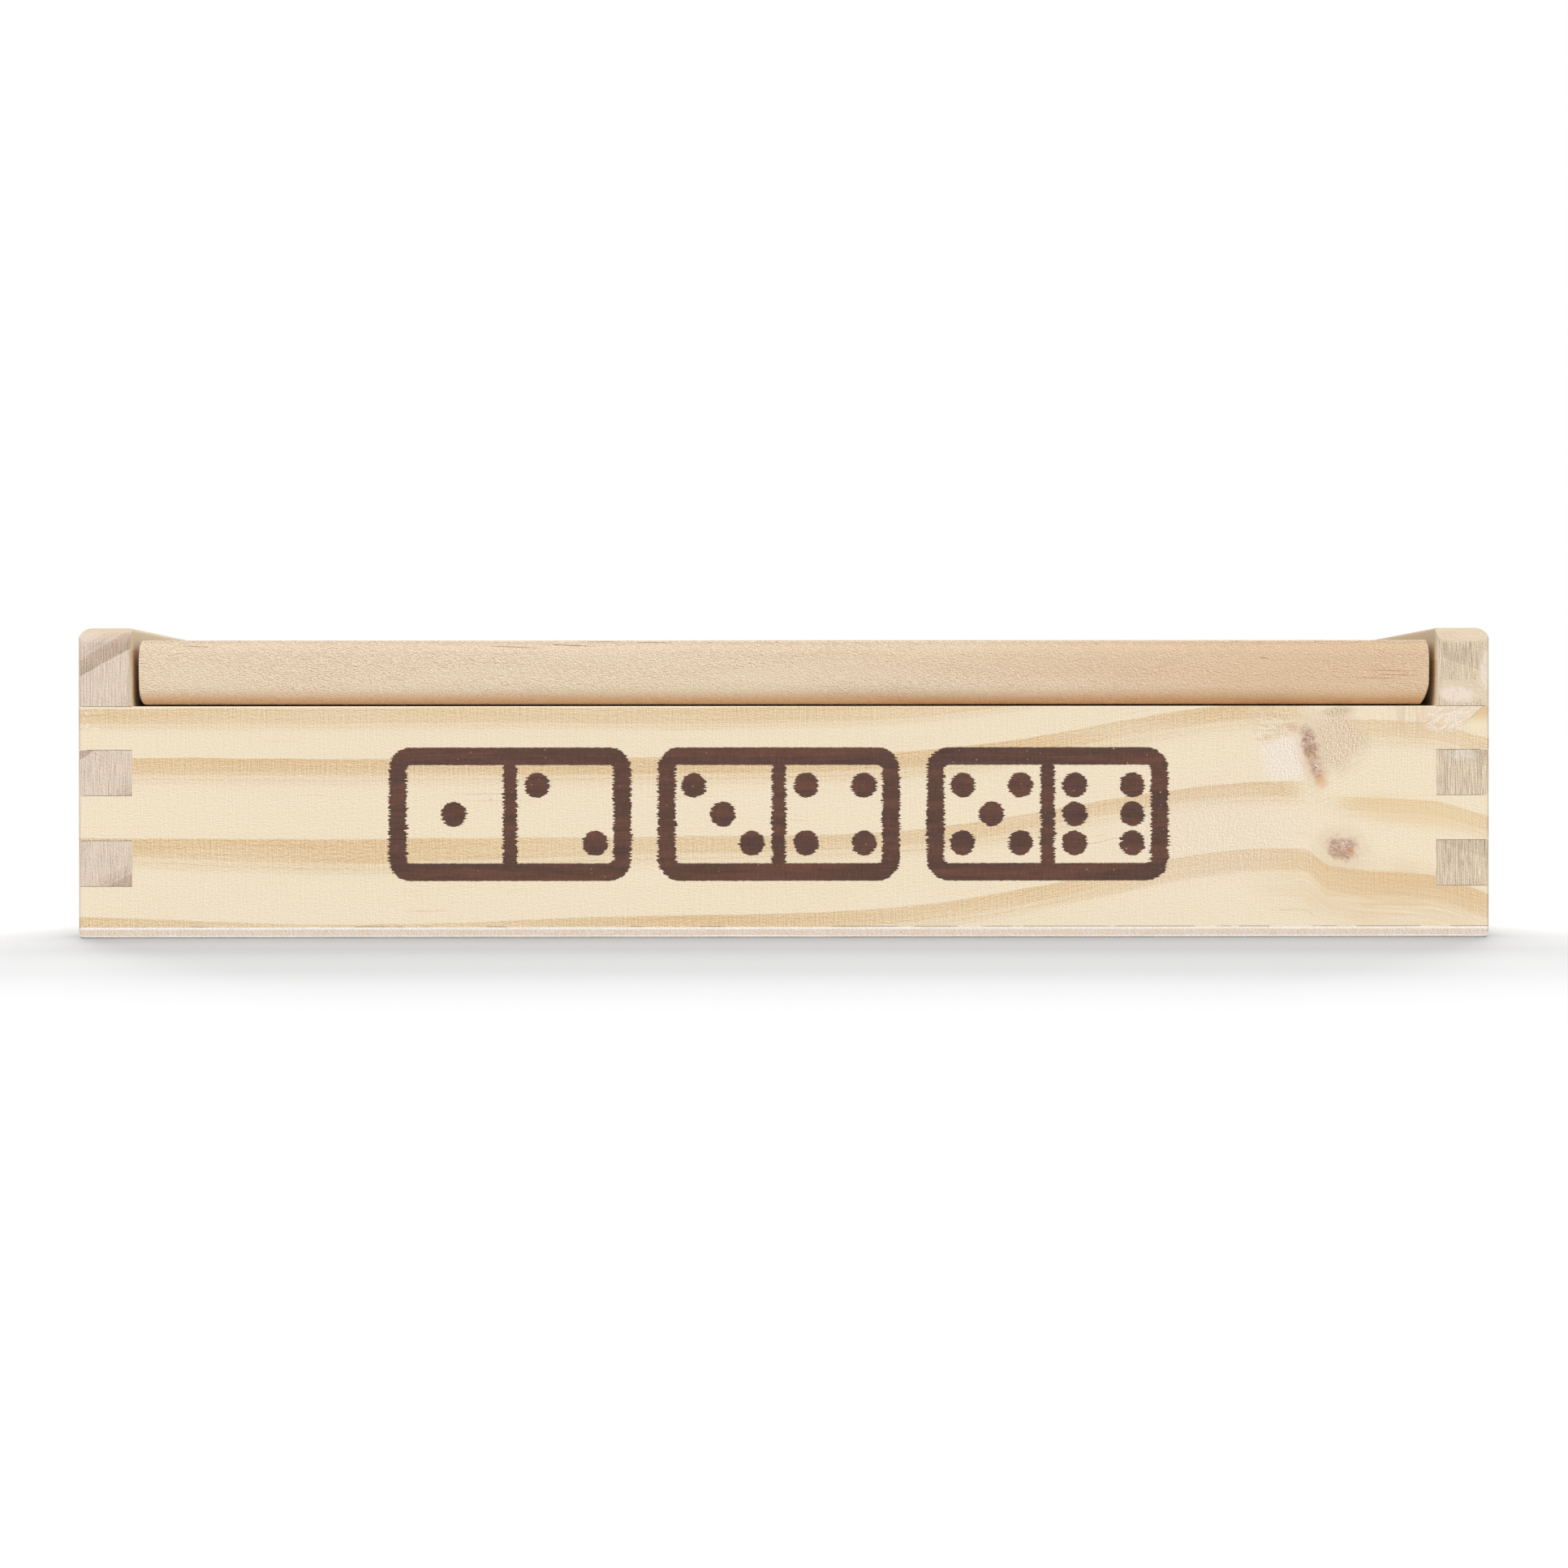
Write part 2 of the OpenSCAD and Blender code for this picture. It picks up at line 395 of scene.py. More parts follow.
def pine_face(wood, level, seed, strength=1.0):
    """Tint and height of planed pine: bands, hairlines, cutter marks, fibres and speckle.
    There are no rings below a level of -3."""
    grain_place = wood.join(wood.along, wood.across, level)
    late = growth_rings(wood, level, millimetres("ring_pitch"), PINE_RING_TOP, seed + 3)
    late = wood.product(late, wood.ease(level, -3.4, -2.4), strength)
    # The lowest ring grows wide to the right
    wide = wood.product(wood.ease(level, -0.9, 0.1), wood.math("LESS_THAN", level, PINE_RING_TOP))
    wide = wood.product(wide, wood.ease(wood.along, 20, 50), strength)
    late = wood.math("MAXIMUM", late, wood.product(wide, 0.7))
    hairline = wood.ease(wood.noise((26, 30, 0.36), seed, 1, grain_place), 0.68, 0.73)
    hairline = wood.product(hairline, wood.ease(wood.noise((14, 30, 6), seed + 1), 0.5, 0.6))
    share = wood.math("ADD", late, wood.product(hairline, 0.7), clamp=True)
    tint = wood.mix(share, colours().pine_pale, colours().pine_band)
    tint = wood.stain(tint, colours().pine_torn, wood.noise((34, 20, 6), seed + 6), 0.25)
    upright = wood.relief((0.2, 6, 2.5), (0.13, 0, 0), seed + 2)
    fibre = wood.relief((0.9, 0.4, 0.18), (0, 0, 0.12), seed + 3, grain_place)
    speckle = wood.relief((0.15, 0.2, 0.13), (0.04, 0, 0.08), seed + 4)
    lines = wood.sway((14, 30, 0.2), 1.0, seed + 8, 1, grain_place)
    dash = wood.ease(wood.noise((0.8, 0.4, 0.13), seed + 7, 0, grain_place), 0.62, 0.72)
    cloud = wood.sway((30, 20, 8), 1.0, seed + 5)
    brightness = wood.total(
        1.0,
        wood.product(upright, wood.total(0.035, wood.product(share, 0.08))),
        wood.product(fibre, wood.total(0.04, wood.product(share, 0.07))),
        wood.product(speckle, wood.total(0.12, wood.product(share, 0.1))),
        wood.product(dash, wood.product(share, -0.05)),
        wood.product(lines, wood.total(0.01, wood.product(share, 0.12))),
        wood.product(cloud, 0.015),
    )
    tint = wood.tone(tint, brightness)
    height = wood.total(
        wood.product(upright, 0.03), wood.product(fibre, 0.02), wood.product(speckle, 0.01)
    )
    return tint, height, share


def ring_level(wood, rise=7.4, centre=67.2, widths=(34, 70), drop=2.1, lean=0.35, seed=0.0):
    """The height that a ring keeps along the board: rings rise to a hump over the knots, the
    more the lower they are, and drop past them. They also lean with the board's thickness,
    crowd towards the top edge and wander by noise."""
    side = wood.math("LESS_THAN", wood.along, centre)
    width = wood.total(widths[1], wood.product(side, widths[0] - widths[1]))
    hump = wood.product(wood.hill(wood.along, centre, width), rise)
    past = wood.product(wood.ease(wood.along, centre + 2.5, centre + 6.5), drop)
    tail = wood.product(wood.ease(wood.along, centre + 19, centre + 30), 0.9 * drop)
    low = wood.ease(wood.up, 15, 9)
    past_low = wood.product(wood.ease(wood.along, centre + 4, centre + 12), low, 0.35 * drop)
    hump = wood.total(hump, wood.product(wood.total(past, tail), -1.0))
    deeper = wood.math("MAXIMUM", wood.minus(19.8, wood.up), 0.0)
    hump = wood.product(hump, wood.math("MULTIPLY_ADD", deeper, 0.0238, 1.0))
    dip = wood.product(wood.hill(wood.along, centre - 125, 34), low, -0.19 * rise)
    rise_here = wood.total(hump, dip, wood.product(past_low, -1.0))
    leaning = wood.math("MULTIPLY_ADD", wood.across, lean, lean * -FRONT_LOW.y / MM)
    wander = wood.total(wood.sway((48, 20, 9), 0.35, seed), wood.sway((9, 9, 1.4), 0.2, seed + 1))
    level = wood.total(wood.up, wood.product(rise_here, -1.0), leaning, wander)
    return wood.total(level, wood.product(wood.ease(level, 24.6, 29.2), 3.8))


# Printed pips as (column, row) steps from the middle of a half tile
PIPS = {
    1: [(0, 0)],
    2: [(-1, 1), (1, -1)],
    3: [(-1, 1), (0, 0), (1, -1)],
    4: [(-1, 1), (1, 1), (-1, -1), (1, -1)],
    5: [(-1, 1), (1, 1), (0, 0), (-1, -1), (1, -1)],
    6: [(-1, 1), (-1, 0), (-1, -1), (1, 1), (1, 0), (1, -1)],
}
PRINTED_TILES = [(1, 2), (3, 4), (5, 6)]
PRINT_CENTRE = (-0.8, 16.6)


def printed_tiles(wood):
    """Signed distance in millimetres to a row of domino faces, negative in the ink: rounded
    outlines, a bar across each and pips, with edges that bleed along the fibres."""
    u = wood.minus(wood.along, PRINT_CENTRE[0])
    v = wood.minus(wood.up, PRINT_CENTRE[1])
    u = wood.total(u, wood.sway((1.1, 9, 0.15), 0.62, 41, 1), wood.sway((0.6, 9, 0.6), 0.08, 42))
    v = wood.total(v, wood.sway((0.5, 9, 0.9), 0.08, 43))
    pitch = millimetres("tile_pitch")
    half = (millimetres("tile_width") / 2, millimetres("tile_height") / 2)
    corner, line = millimetres("tile_corner"), millimetres("tile_line")
    nearest = wood.math("ROUND", wood.math("DIVIDE", u, pitch))
    nearest = wood.math("MINIMUM", wood.math("MAXIMUM", nearest, -1.0), 1.0)
    local = wood.math("ABSOLUTE", wood.minus(u, wood.product(nearest, pitch)))
    over_u = wood.minus(local, half[0] - corner)
    over_v = wood.minus(wood.math("ABSOLUTE", v), half[1] - corner)
    past = wood.join(wood.math("MAXIMUM", over_u, 0.0), wood.math("MAXIMUM", over_v, 0.0), 0.0)
    outside = wood.vector("LENGTH", (past,))
    inside = wood.math("MINIMUM", wood.math("MAXIMUM", over_u, over_v), 0.0)
    edge = wood.total(outside, inside, -corner)
    outline = wood.minus(wood.math("ABSOLUTE", wood.total(edge, line / 2)), line / 2)
    bar = wood.math("MAXIMUM", wood.minus(local, 0.4 * line), edge)
    ink = wood.math("MINIMUM", outline, bar)
    flat = wood.join(u, v, 0.0)
    room = half[0] / 2 - line / 4
    step = millimetres("pip_pitch")
    for index, halves in enumerate(PRINTED_TILES):
        for side, count in zip((-1, 1), halves):
            middle = (index - 1) * pitch + side * room
            for column, row in PIPS[count]:
                pip = wood.vector("DISTANCE", (flat, (middle + column * step, row * step, 0.0)))
                ink = wood.math("MINIMUM", ink, wood.minus(pip, millimetres("pip_radius")))
    return ink


def knot_in_pine(wood, tint, height, centre, radii, turn, seed, strength=1.0):
    """Adds a knot: a tan halo round a heart of tangled dark wood with pale chips, reddish
    towards its foot, in a ragged ellipse turned by an angle in degrees."""
    reach = wood.spot(centre, radii, turn, 0.6, 0.9, seed)
    tangle = wood.noise((0.42, 0.5, 0.5), seed + 0.5, 4)
    flakes = wood.noise((0.34, 0.4, 0.12), seed + 0.7, 1)
    foot = wood.ease(wood.minus(wood.up, centre[2]), 0.8 * radii[0], -0.4 * radii[0])
    heart = wood.ease(reach, 1.2, 0.5)
    fine = wood.relief((0.16, 0.2, 0.16), (0.06, 0, 0.09), seed + 0.9)
    tangled = wood.ease(wood.total(tangle, wood.product(fine, 0.1)), 0.38, 0.56)
    dark = wood.product(heart, tangled, strength)
    chip = wood.product(wood.ease(reach, 1.1, 0.6), wood.ease(flakes, 0.54, 0.6))
    tint = wood.stain(tint, srgb(214, 186, 156), wood.ease(reach, 2.4, 0.9), 0.35)
    tint = wood.stain(tint, srgb(198, 160, 138), heart, 0.7)
    tint = wood.mix(wood.product(dark, 0.64), tint, wood.mix(foot, colours().knot, srgb(150, 102, 76)))
    pale = wood.minus(0.7, wood.product(foot, 0.4))
    tint = wood.stain(tint, srgb(240, 224, 216), chip, pale)
    tint = wood.shade(tint, heart, fine, 0.35)
    return tint, wood.minus(height, wood.product(dark, 0.6))


def front_pine():
    """The front board: pine with two knots, torn grain beside them, the print, and sawn end
    grain on its fingers' ends."""
    wood = Wood("pine_front")
    level = ring_level(wood)
    gone = wood.product(wood.ease(wood.along, 67, 71), wood.ease(wood.up, 10.5, 13))
    back = wood.minus(1.0, wood.product(wood.ease(wood.along, 73, 78), 0.7))
    kept = wood.minus(1.0, wood.product(gone, back, 0.85))
    tint, height, late = pine_face(wood, level, 0, kept)
    face_y = FRONT_LOW.y / MM

    # Rosy grainy wood left of the knots, amber wood below them, tan patches round the long one
    grain = wood.relief((0.2, 0.2, 0.17), (0.07, 0, 0.1), 26)
    grain = wood.total(grain, wood.relief((0.16, 2, 0.7), (0.1, 0, 0), 47))
    rosy = wood.patch((58, face_y, 13.5), (16, 30, 9), 14, 0.4, 7, 10, 1.2, 0.3)
    tint = wood.stain(tint, srgb(232, 214, 196), rosy, 0.32)
    tint = wood.shade(tint, rosy, grain, 0.1)
    honey = wood.patch((85, face_y, 16.6), (11, 30, 2.3), -9, 0.4, 4, 45, 1.2, 0.3)
    tint = wood.stain(tint, srgb(230, 205, 160), honey, 0.55)
    amber = wood.patch((82, face_y, 5.6), (18, 30, 4.6), -4, 0.3, 6, 11, 1.3, 0.2)
    along_grain = wood.join(wood.along, wood.across, level)
    amber = wood.product(amber, wood.ease(wood.noise((9, 20, 0.5), 27, 3, along_grain), 0.2, 0.7))
    tint = wood.stain(tint, colours().pine_amber, amber, 0.8)
    tan = wood.patch((74.6, face_y, 26.6), (4.2, 20, 4.8), -10, 0.4, 3, 12, 1.2, 0.5)
    smudge = wood.patch((74.6, face_y, 30.4), (2.5, 9, 0.7), 6, 0.5, 1.5, 32, 1.3, 0.4)
    upper = wood.patch((84.3, face_y, 29.6), (3.4, 9, 4.0), 0, 0.4, 2, 33, 1.2, 0.4)
    upright = wood.ease(wood.noise((0.45, 6, 5), 34, 1), 0.35, 0.65)
    tint = wood.stain(tint, srgb(218, 194, 168), tan, 0.7)
    tint = wood.stain(tint, srgb(186, 166, 128), smudge, 0.45)
    tint = wood.stain(tint, srgb(218, 190, 158), upper, upright, 0.55)
    tint = wood.shade(tint, wood.total(tan, smudge), grain, 0.2)

    # Torn pale wood left of the long knot, with tan streaks over it
    slope = wood.math("MULTIPLY_ADD", wood.up, -0.30, 71.2)
    fray = wood.total(wood.along, wood.sway((2, 9, 1.3), 0.9, 13), wood.sway((0.7, 9, 0.3), 0.35, 46))
    patch_left = wood.minus(fray, slope)
    patch_foot = wood.total(wood.up, wood.product(wood.along, -0.06), wood.sway((1.5, 9, 0.6), 0.8, 14))
    patch_right = wood.total(fray, wood.product(wood.up, 0.24), wood.sway((1.5, 9, 1.5), 0.8, 15))
    torn = wood.product(
        wood.ease(patch_left, -0.3, 1.6),
        wood.ease(patch_foot, 16.6, 17.8),
        wood.ease(patch_right, 76.8, 74.4),
    )
    streak_tops = wood.total(wood.up, wood.product(wood.along, -0.3), wood.sway((1.5, 9, 0.8), 0.7, 35))
    over = wood.ease(streak_tops, 5.9, 7.4)
    fibres = wood.ease(wood.noise((1.4, 0.4, 0.25), 28, 2), 0.42, 0.6)
    pale = wood.minus(0.8, wood.product(over, 0.55))
    tint = wood.stain(tint, colours().pine_torn, torn, pale)
    tint = wood.stain(tint, srgb(214, 188, 152), torn, over, fibres, 0.6)
    tint = wood.shade(tint, torn, grain, 0.12)

    # The upper right corner: pale slanting fibres, and a yellow chip behind a crack
    turned = {"Vector": wood.place, "Rotation": (0, -math.radians(29), 0)}
    slant = wood.node("ShaderNodeMapping", turned, vector_type="TEXTURE").outputs[0]
    wisps = wood.noise((1.7, 2, 0.3), 36, 1, slant)
    corner = wood.patch((89.7, face_y, 29.5), (3.7, 4, 1.9), 13, 0.35, 1.2, 16, 1.15, 0.8)
    tint = wood.stain(tint, srgb(222, 196, 164), corner, 0.5)
    corner = wood.product(corner, wood.ease(wisps, 0.36, 0.6))
    tint = wood.stain(tint, colours().pine_torn, corner, 0.75)
    tint = wood.shade(tint, corner, grain, 0.16)
    crack = wood.total(
        wood.along, wood.product(wood.up, -1.0), wood.sway((0.9, 2, 0.9), 0.45, 37), -63.0
    )
    chip_high = wood.product(wood.ease(wood.up, 27.6, 28.3), wood.ease(wood.along, 92.2, 92.7))
    chip = wood.product(wood.ease(crack, 0.0, 0.12), chip_high)
    chip_tint = wood.mix(wood.ease(wood.up, 28.4, 30.4), srgb(238, 224, 192), srgb(222, 190, 142))
    tint = wood.mix(wood.product(chip, 0.85), tint, chip_tint)
    crack_line = wood.product(wood.hill(crack, 0.0, 0.09), chip_high)
    tint = wood.stain(tint, srgb(168, 138, 108), crack_line, 0.5)
    curl = wood.sway((0.9, 2, 0.9), 0.5, 38)
    curls = wood.ease(wood.noise((0.5, 2, 0.28), 29, 3), 0.52, 0.66)
    chipped = wood.product(
        wood.ease(wood.total(wood.along, curl), -91.4, -92.6), wood.ease(wood.up, 26.9, 28.6)
    )
    tint = wood.stain(tint, srgb(248, 238, 224), chipped, curls, 0.5)
    height = wood.total(height, wood.product(wood.total(corner, crack_line), 0.4))

    # The long knot with its arm and resin tip, and the small round knot
    tint, height = knot_in_pine(wood, tint, height, (70.8, face_y, 25.7), (3.0, 30, 1.15), -78, 17)
    tint, height = knot_in_pine(wood, tint, height, (71.7, face_y, 22.3), (1.4, 30, 0.9), -60, 39, 0.6)
    arm = wood.patch((68.8, face_y, 28.1), (1.6, 9, 0.7), -20, 0.5, 0.8, 40, 1.2, 0.4)
    tint = wood.stain(tint, srgb(196, 150, 120), arm, wood.ease(grain, -0.3, 0.6), 0.6)
    tip = wood.patch((72.3, face_y, 20.9), (1.2, 10, 0.85), -50, 0.4, 0.7, 18, 1.25, 0.3)
    tint = wood.stain(tint, srgb(222, 178, 130), tip, 0.65)
    tint, height = knot_in_pine(wood, tint, height, (75.1, face_y, 11.9), (2.2, 30, 1.75), -14, 19, 0.8)
    resin = wood.patch((76.2, face_y, 11.6), (0.7, 10, 0.5), 0, 0.4, 0.5, 44, 1.2, 0.4)
    tint = wood.stain(tint, srgb(206, 146, 98), resin, 0.6)

    # Slanting scratches that run out of the long knot
    scratch = wood.relief((5, 9, 0.16), (0, 0, 0.08), 20, slant)
    area = wood.patch((72.5, face_y, 21.0), (10, 2, 3.6), 27, 0.3, 3, 21, 1.15, 0.5)
    tint = wood.shade(tint, scratch, area, 0.09)

    # Painted shade: a little darker towards the top and a little brighter low down. This is a gradient of
    # light, not of the wood
    tint = wood.tone(tint, wood.math("MULTIPLY_ADD", wood.up, -0.0013, 1.02))

    # The dashed glue line above the plywood, and a few specks
    glue = wood.product(
        wood.ease(wood.up, FRONT_LOW.z / MM + 0.2, FRONT_LOW.z / MM + 0.08),
        wood.ease(wood.total(wood.noise((6, 5, 40), 22, 3), wood.product(wood.along, 0.0009)), 0.5, 0.55),
    )
    tint = wood.stain(tint, srgb(150, 128, 104), glue, 0.6)
    tint = wood.stain(tint, colours().knot, wood.specks(10, 0.4, 0.2, 3), 0.5)

    # The print, on the front face only
    ink = wood.product(
        wood.ease(printed_tiles(wood), 0.05, -0.07), wood.ease(wood.across, face_y + 0.6, face_y + 0.3)
    )
    bare = wood.math("ADD", wood.specks(0.9, 0.35, 0.1, 5), wood.specks(2.3, 0.3, 0.15, 6), clamp=True)
    thin = wood.ease(wood.noise((14, 9, 1.3), 23), 0.38, 0.66)
    printed = wood.mix(wood.product(thin, 0.7), colours().ink, colours().ink_red)
    printed = wood.mix(wood.product(late, 0.4), printed, srgb(76, 56, 52))
    streak = wood.total(
        1.0,
        wood.sway((4, 9, 0.2), 0.4, 24),
        wood.sway((0.22, 9, 2), 0.3, 25),
        wood.sway((0.3, 9, 0.3), 0.3, 31),
    )
    printed = wood.tone(printed, streak)
    tint = wood.mix(wood.product(ink, wood.minus(1.0, wood.product(bare, 0.45))), tint, printed)
    tint, height = sawn_ends(wood, tint, height, level, 30)
    roughness = wood.minus(wood.total(0.74, wood.product(late, 0.06)), wood.product(ink, 0.12))
    return wood.finish(tint, height, roughness)


def back_pine():
    """The back board: the same pine from another part of the plank, with one small knot."""
    wood = Wood("pine_back")
    level = ring_level(wood, rise=5.5, centre=-38, widths=(45, 30), drop=1.2, lean=0.3, seed=50)
    tint, height, late = pine_face(wood, level, 50)
    tint, height = knot_in_pine(wood, tint, height, (-46, CAD_HIGH.y / MM, 22), (2.6, 30, 1.9), 8, 57)
    tint, height = sawn_ends(wood, tint, height, level, 60)
    return wood.finish(tint, height, wood.total(0.72, wood.product(late, 0.06)))


# Places on the right end board's front edge with few saw marks, and with fuzzy pale wood, as
# (distance in from the outer face, up, half size across, half size up) in millimetres. The last
# pale place is not torn wood but a painted highlight: a pale upright line on the rounded inner
# edge beside the lid.
RIGHT_SMOOTH = [(0.3, 35.5, 1.3, 4.6), (3.6, 33.2, 3.6, 1.5)]
RIGHT_TORN_AND_HIGHLIGHT = [(4.4, 32.6, 2.7, 1.3), (3.6, 24.6, 2.2, 0.9), (0.4, 36, 0.9, 3), (6.9, 36.4, 0.4, 3.6)]


def end_board_pine(name, pale, band, contrast, cut, outer_x, slope, top, pitch, smooth, torn, seed):
    """An end board: grain from front to back, so that its front and back edges are sawn end
    grain with slanting rings and saw marks of depth cut, and its outer face has bands along
    it. smooth and torn list places on the front edge as the two lists above do; a torn place
    gets pale fuzzy wood, and the right end's last one is a painted highlight instead."""
    wood = Wood(name, grain="Y")
    run = wood.minus(wood.across, outer_x)
    wander = wood.total(wood.sway((45, 9, 7), 0.7, seed), wood.sway((9, 2.5, 1.6), 0.15, seed + 1))
    level = wood.total(wood.up, wood.product(run, -slope), wander)
    # On end grain the rings end sharply at their foot, so the level runs downwards there
    flipped = wood.product(level, -1.0)
    front = CAD_LOW.y / MM
    sawn = wood.product(wood.ease(wood.up, CAD_HIGH.z / MM - 1.7, CAD_HIGH.z / MM - 2.2), cut)
    for inset, up, *halves in smooth:
        place = (front, outer_x - inset, up)
        sawn = wood.product(sawn, wood.patch(place, (4, *halves), 0, 0.3, 0.9, seed + 11, 0.8, 1.15))
    face_tint, face_height, late = pine_face(wood, level, seed + 2)
    end_tint, end_height = end_grain(wood, flipped, pitch, -top, seed + 8, pale, band, sawn, contrast)
    fuzz = wood.ease(wood.noise((0.5, 0.25, 0.6), seed + 9), 0.24, 0.5)
    # Pale fuzzy wood at each torn place; the right end's last place is a painted highlight on its rounded
    # inner edge
    for inset, up, *halves in torn:
        place = (front, outer_x - inset, up)
        patch = wood.patch(place, (4, *halves), 0, 0.45, 0.9, seed + 10, 1.1, 0.6)
        end_tint = wood.stain(end_tint, colours().pine_torn, patch, fuzz, 0.7)
    tint = wood.mix(wood.end_facing, wood.mix(0.3, face_tint, colours().pine_amber), end_tint)
    height = wood.blend(wood.end_facing, face_height, end_height)
    return wood.finish(tint, height, wood.total(0.76, wood.product(late, 0.04)), depth=0.06)


# Dark streaks in the lid's front, as (centre along, centre up, half length, half height, turn)
LID_STREAKS = [
    (-79.3, 39.2, 2.2, 0.06, 2),
    (-36.6, 39.13, 3.7, 0.07, 2.2),
    (-28.8, 39.33, 3.5, 0.10, 2.6),
    (-24.5, 39.84, 3.1, 0.07, 0),
    (-18.1, 39.74, 2.8, 0.07, 1.2),
    (81.5, 35.9, 4.6, 0.06, 1.2),
    (82.6, 35.3, 3.8, 0.05, 1.2),
    (80.0, 34.9, 4.2, 0.05, 1.2),
    (64.5, 37.6, 0.8, 0.06, 5),
]


def lid_hardwood():
    """The lid: a fine hardwood with short flecks on its front edge and long lines elsewhere, a
    warmer tone to the right, faint figure and a few dark streaks, and painted warm shade along its lower
    front edge."""
    wood = Wood("lid_hardwood")
    warm = wood.ease(wood.total(wood.along, wood.sway((50, 20, 5), 26, 71)), -10, 70)
    tint = wood.mix(warm, colours().lid_left, colours().lid_right)
    figure = wood.sway((70, 8, 1.8), 1.0, 72)
    curl = wood.join(wood.along, wood.across, wood.total(wood.up, wood.sway((1.3, 1.3, 0.8), 0.2, 73)))
    grit = wood.relief((0.16, 0.2, 0.12), (0.07, 0, 0.08), 74, curl)
    fleck = wood.ease(wood.relief((0.34, 0.3, 0.12), (0.03, 0, 0.09), 75, curl), 0.25, 0.6)
    pore = wood.specks(1.9, 0.5, 0.12, 76)
    crowd = wood.ease(wood.noise((16, 6, 3), 78), 0.3, 0.6)
    edge = wood.ease(wood.across, LID_LOW.y / MM + 4, LID_LOW.y / MM + 1.5)
    bold = wood.total(0.3, wood.product(edge, 0.7))
    rest = wood.minus(1.0, edge)
    lines = wood.relief((5, 0.4, 0.4), (0, 0.15, 0.1), 88)
    dash = wood.ease(wood.noise((1.8, 0.24, 0.3), 89, 1), 0.58, 0.7)
    brightness = wood.total(
        1.02,
        wood.product(figure, 0.03),
        wood.product(grit, bold, 0.22),
        wood.product(lines, rest, 0.14),
    )
    tint = wood.tone(tint, brightness)
    tint = wood.stain(tint, colours().lid_fleck, dash, rest, 0.4)
    tint = wood.stain(tint, colours().lid_fleck, fleck, bold, wood.total(0.4, wood.product(crowd, 0.25)))
    tint = wood.stain(tint, colours().lid_streak, pore, 0.55)
    height = wood.total(wood.product(grit, 0.1), wood.product(fleck, -0.1))
    front = LID_LOW.y / MM
    for index, (along, up, length, thickness, turn) in enumerate(LID_STREAKS):
        radii = (length, 2.6, thickness)
        streak = wood.patch((along, front, up), radii, -turn, 0.45, 0.8, 80 + index, 1.1, 0.5)
        tint = wood.stain(tint, colours().lid_streak, streak, 0.8)
    # Painted shade: the lower front edge turns warm orange, standing in for the dim, warm light under the
    # lid
    painted_under_shade = wood.ease(wood.up, LID_LOW.z / MM + 2.4, LID_LOW.z / MM + 0.4)
    tint = wood.stain(tint, srgb(236, 180, 122), painted_under_shade, edge, 0.5)
    end_tint = wood.mix(
        wood.ease(wood.noise((2, 0.3, 0.3), 77, 3), 0.4, 0.62), colours().lid_right, colours().lid_fleck
    )
    tint = wood.mix(wood.end_facing, tint, end_tint)
    roughness = wood.total(0.6, wood.product(fleck, 0.1))
    return wood.finish(tint, height, roughness, depth=0.035, sheen=0.35)


def ply_veneer(name, tint_name, grain, seed):
    """A ply: rotary-cut veneer whose face has broad wavy figure, and whose edge shows the
    speckle of cut and crushed fibres."""
    wood = Wood(name, grain=grain)
    wave = wood.total(wood.across, wood.sway((60, 14, 9), 9, seed), wood.sway((12, 4, 4), 1.0, seed + 1))
    figure = wood.ease(wood.math("PINGPONG", wave, 3.4), 0.4, 3.0)
    fibre = wood.relief((5, 0.25, 0.3), (0, 0.13, 0.1), seed + 2)
    cut = wood.relief((2, 0.24, 1.5), (0, 0.12, 0), seed + 3)
    speckle = wood.relief((0.22, 0.22, 0.2), (0.08, 0.08, 0.08), seed + 4)
    rosy = wood.noise((4, 4, 4), seed + 5)
    tint = wood.mix(wood.product(figure, 0.16), getattr(colours(), tint_name), colours().pine_band)
    tint = wood.stain(tint, srgb(220, 194, 176), rosy, wood.end_facing, 0.25)
    brightness = wood.total(
        1.0,
        wood.product(cut, wood.end_facing, 0.08),
        wood.product(fibre, 0.04),
        wood.product(speckle, 0.12),
    )
    tint = wood.tone(tint, brightness)
    height = wood.total(wood.product(fibre, 0.1), wood.product(cut, 0.1), wood.product(speckle, 0.1))
    return wood.finish(tint, height, wood.total(0.74, wood.product(fibre, 0.03)))


def dowel_end():
    """A dowel: rings round an off-centre heart on its sawn end, long fibres down its side."""
    wood = Wood("dowel_wood")
    heart_y, heart_z = PIVOT[1] / MM - 2.6, PIVOT[2] / MM + 1.4
    offset = wood.join(wood.minus(wood.across, heart_y), wood.minus(wood.up, heart_z), 0.0)
    radius = wood.total(wood.vector("LENGTH", (offset,)), wood.sway((3, 1, 1), 0.12, 91))
    rings = wood.ease(wood.math("PINGPONG", radius, 0.34), 0.06, 0.3)
    speckle = wood.sway((0.2, 0.12, 0.12), 1.0, 92)
    fibre = wood.sway((4, 0.2, 0.2), 1.0, 93)
    tint = wood.mix(wood.product(rings, 0.45), colours().dowel, colours().end_band)
    brightness = wood.total(1.0, wood.product(speckle, 0.18), wood.product(fibre, 0.1))
    tint = wood.tone(tint, brightness)
    return wood.finish(tint, wood.total(speckle, fibre), wood.total(0.66, wood.product(rings, 0.1)))


def dress(node, material):
    """Puts a finish on a CAD node, in place of the one it came with."""
    slots = NODES[node].data.materials
    slots.clear()
    slots.append(material)


# --- Shapes ---


